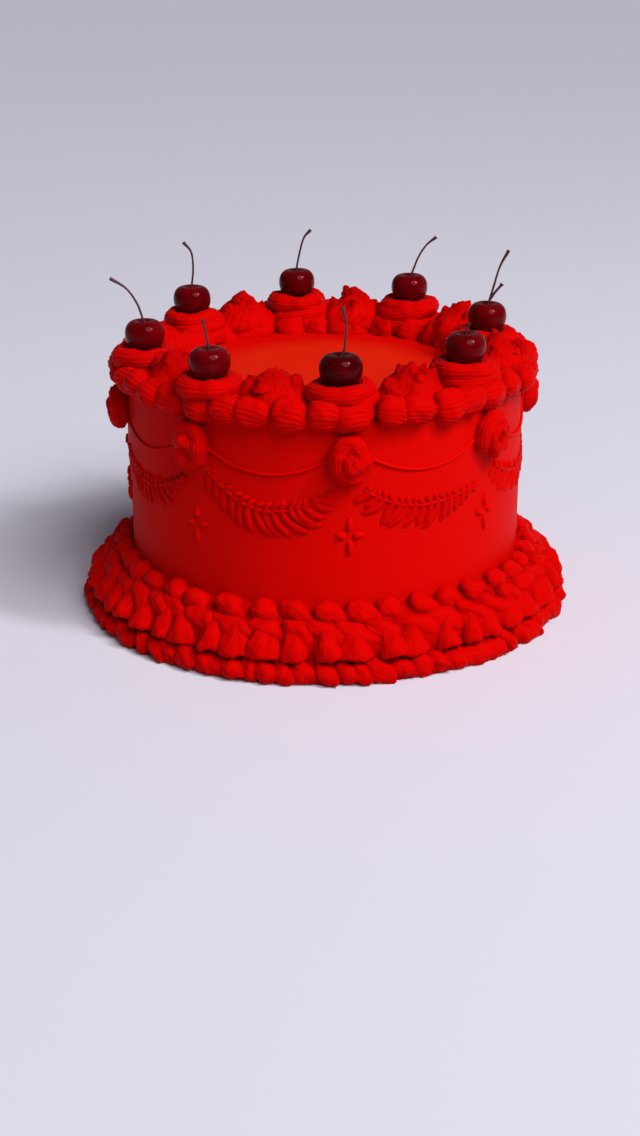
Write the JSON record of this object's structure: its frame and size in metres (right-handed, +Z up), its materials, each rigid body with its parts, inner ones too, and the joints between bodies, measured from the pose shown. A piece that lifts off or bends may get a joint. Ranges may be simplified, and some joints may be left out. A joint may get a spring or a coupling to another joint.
{
  "type": "birthday cake",
  "caption": "Tall round buttercream cake with a piped shell border, rosettes with fresh cherries, wall swags and a wide ruffled base border.",
  "frame": {"origin": "middle of the cake's flat underside, on the surface it stands on", "axes": "+Z up along the cake's axis, -Y towards the side the picture shows, +X to that view's right"},
  "size_m": [0.2558, 0.2558, 0.1772],
  "materials": {
    "smooth_buttercream": "smooth satin red buttercream",
    "piped_buttercream": "ridged satin red buttercream",
    "cherry_skin": "glossy dark red fruit skin",
    "cherry_stem": "dry matt brown stem"
  },
  "bodies": {
    "root": {"base_border_points": "piped_buttercream", "base_border_ruffles": "piped_buttercream", "base_border_shells": "piped_buttercream", "base_border_tails": "piped_buttercream", "cake": "smooth_buttercream", "cherry_0": "cherry_skin", "cherry_1": "cherry_skin", "cherry_2": "cherry_skin", "cherry_3": "cherry_skin", "cherry_4": "cherry_skin", "cherry_5": "cherry_skin", "cherry_6": "cherry_skin", "cherry_7": "cherry_skin", "cherry_stem_0": "cherry_stem", "cherry_stem_1": "cherry_stem", "cherry_stem_2": "cherry_stem", "cherry_stem_3": "cherry_stem", "cherry_stem_4": "cherry_stem", "cherry_stem_5": "cherry_stem", "cherry_stem_6": "cherry_stem", "cherry_stem_7": "cherry_stem", "garland_0": "piped_buttercream", "garland_1": "piped_buttercream", "garland_2": "piped_buttercream", "garland_3": "piped_buttercream", "garland_4": "piped_buttercream", "garland_5": "piped_buttercream", "garland_6": "piped_buttercream", "garland_7": "piped_buttercream", "rosette_0": "piped_buttercream", "rosette_1": "piped_buttercream", "rosette_2": "piped_buttercream", "rosette_3": "piped_buttercream", "rosette_4": "piped_buttercream", "rosette_5": "piped_buttercream", "rosette_6": "piped_buttercream", "rosette_7": "piped_buttercream", "swirl_0": "piped_buttercream", "swirl_1": "piped_buttercream", "swirl_2": "piped_buttercream", "swirl_3": "piped_buttercream", "swirl_4": "piped_buttercream", "swirl_5": "piped_buttercream", "swirl_6": "piped_buttercream", "swirl_7": "piped_buttercream", "top_border": "piped_buttercream", "wall_rosette_0": "piped_buttercream", "wall_rosette_1": "piped_buttercream", "wall_rosette_2": "piped_buttercream", "wall_rosette_3": "piped_buttercream", "wall_rosette_4": "piped_buttercream", "wall_rosette_5": "piped_buttercream", "wall_rosette_6": "piped_buttercream", "wall_rosette_7": "piped_buttercream"}
  },
  "joints": []
}
